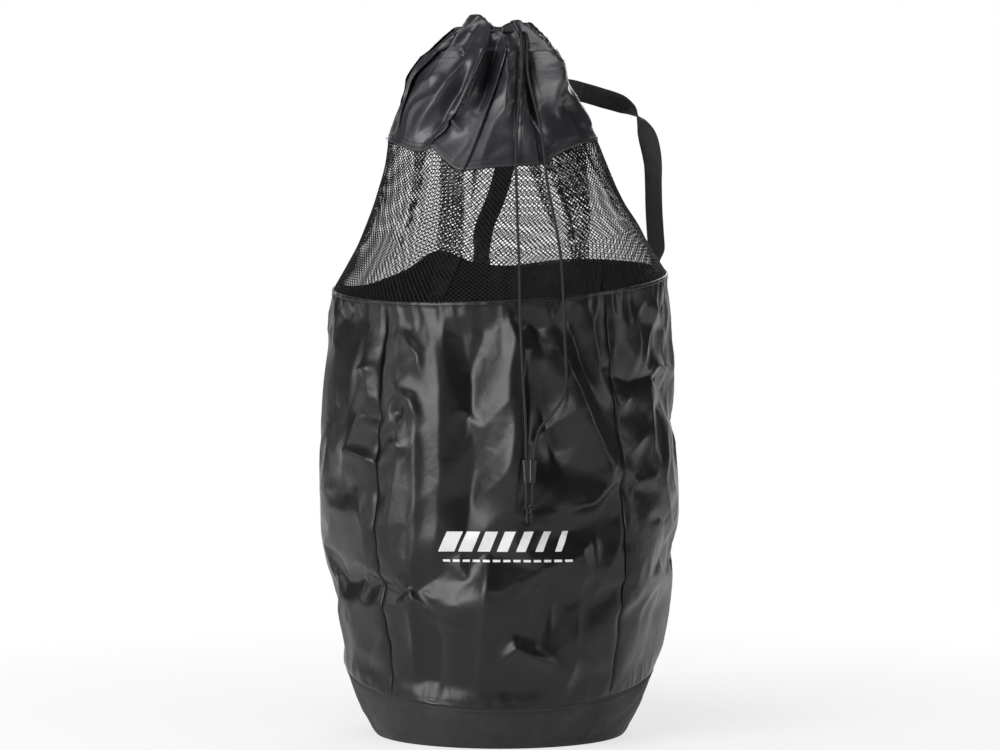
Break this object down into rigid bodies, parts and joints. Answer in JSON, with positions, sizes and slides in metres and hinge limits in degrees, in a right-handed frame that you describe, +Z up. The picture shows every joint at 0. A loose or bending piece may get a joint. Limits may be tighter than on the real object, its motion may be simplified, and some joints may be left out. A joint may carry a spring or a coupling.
{
  "type": "drawstring ball bag",
  "caption": "Tall round drawstring ball bag of coated nylon with a mesh window band, a gathered collar, a cord slider and a webbing shoulder strap.",
  "frame": {"origin": "centre of the round base where it rests on the floor", "axes": "+Z up along the bag's height, -Y the front where the drawcord hangs, +X to the right seen from the front"},
  "size_m": [0.435, 0.4534, 0.89],
  "materials": {
    "coated_nylon": "glossy black coated nylon",
    "collar_nylon": "satin grey-black nylon",
    "base_cloth": "matt black polyester",
    "open_mesh": "black open mesh netting",
    "webbing": "matt woven black webbing",
    "cord": "braided black cord",
    "binding_tape": "matt black tape",
    "slider_plastic": "smooth black moulded plastic"
  },
  "bodies": {
    "bag": {"base_disc": "base_cloth", "base_edge_binding": "binding_tape", "base_band": "base_cloth", "band_seam_binding": "binding_tape", "front_panel": "coated_nylon", "right_side_panel": "coated_nylon", "back_panel": "coated_nylon", "left_side_panel": "coated_nylon", "front_left_seam_tape": "binding_tape", "front_right_seam_tape": "binding_tape", "back_right_seam_tape": "binding_tape", "back_left_seam_tape": "binding_tape", "rim_binding": "coated_nylon", "mesh_band": "open_mesh", "collar_hem_binding": "collar_nylon", "collar": "collar_nylon", "collar_seam_tape": "binding_tape", "drawcord_casing": "collar_nylon", "drawcord_loop": "cord", "drawcord_left_strand": "cord", "drawcord_right_strand": "cord", "drawcord_knot": "cord", "strap_upper_tab": "webbing", "strap_back_run": "webbing"},
    "slider": {"cord_slider": "slider_plastic"},
    "strap": {"strap_loop": "webbing"}
  },
  "joints": [
    {"name": "cord_slider_slide", "type": "slide", "parent": "bag", "child": "slider", "axis": [0, 0, 1], "range_m": [-0.022, 0.012]},
    {"name": "strap_fall_back", "type": "hinge", "parent": "bag", "child": "strap", "pos_m": [0.1995, 0.06869, 0.60457], "axis": [-0.8316, 0.5554, 0], "range_deg": [0, 120]}
  ]
}
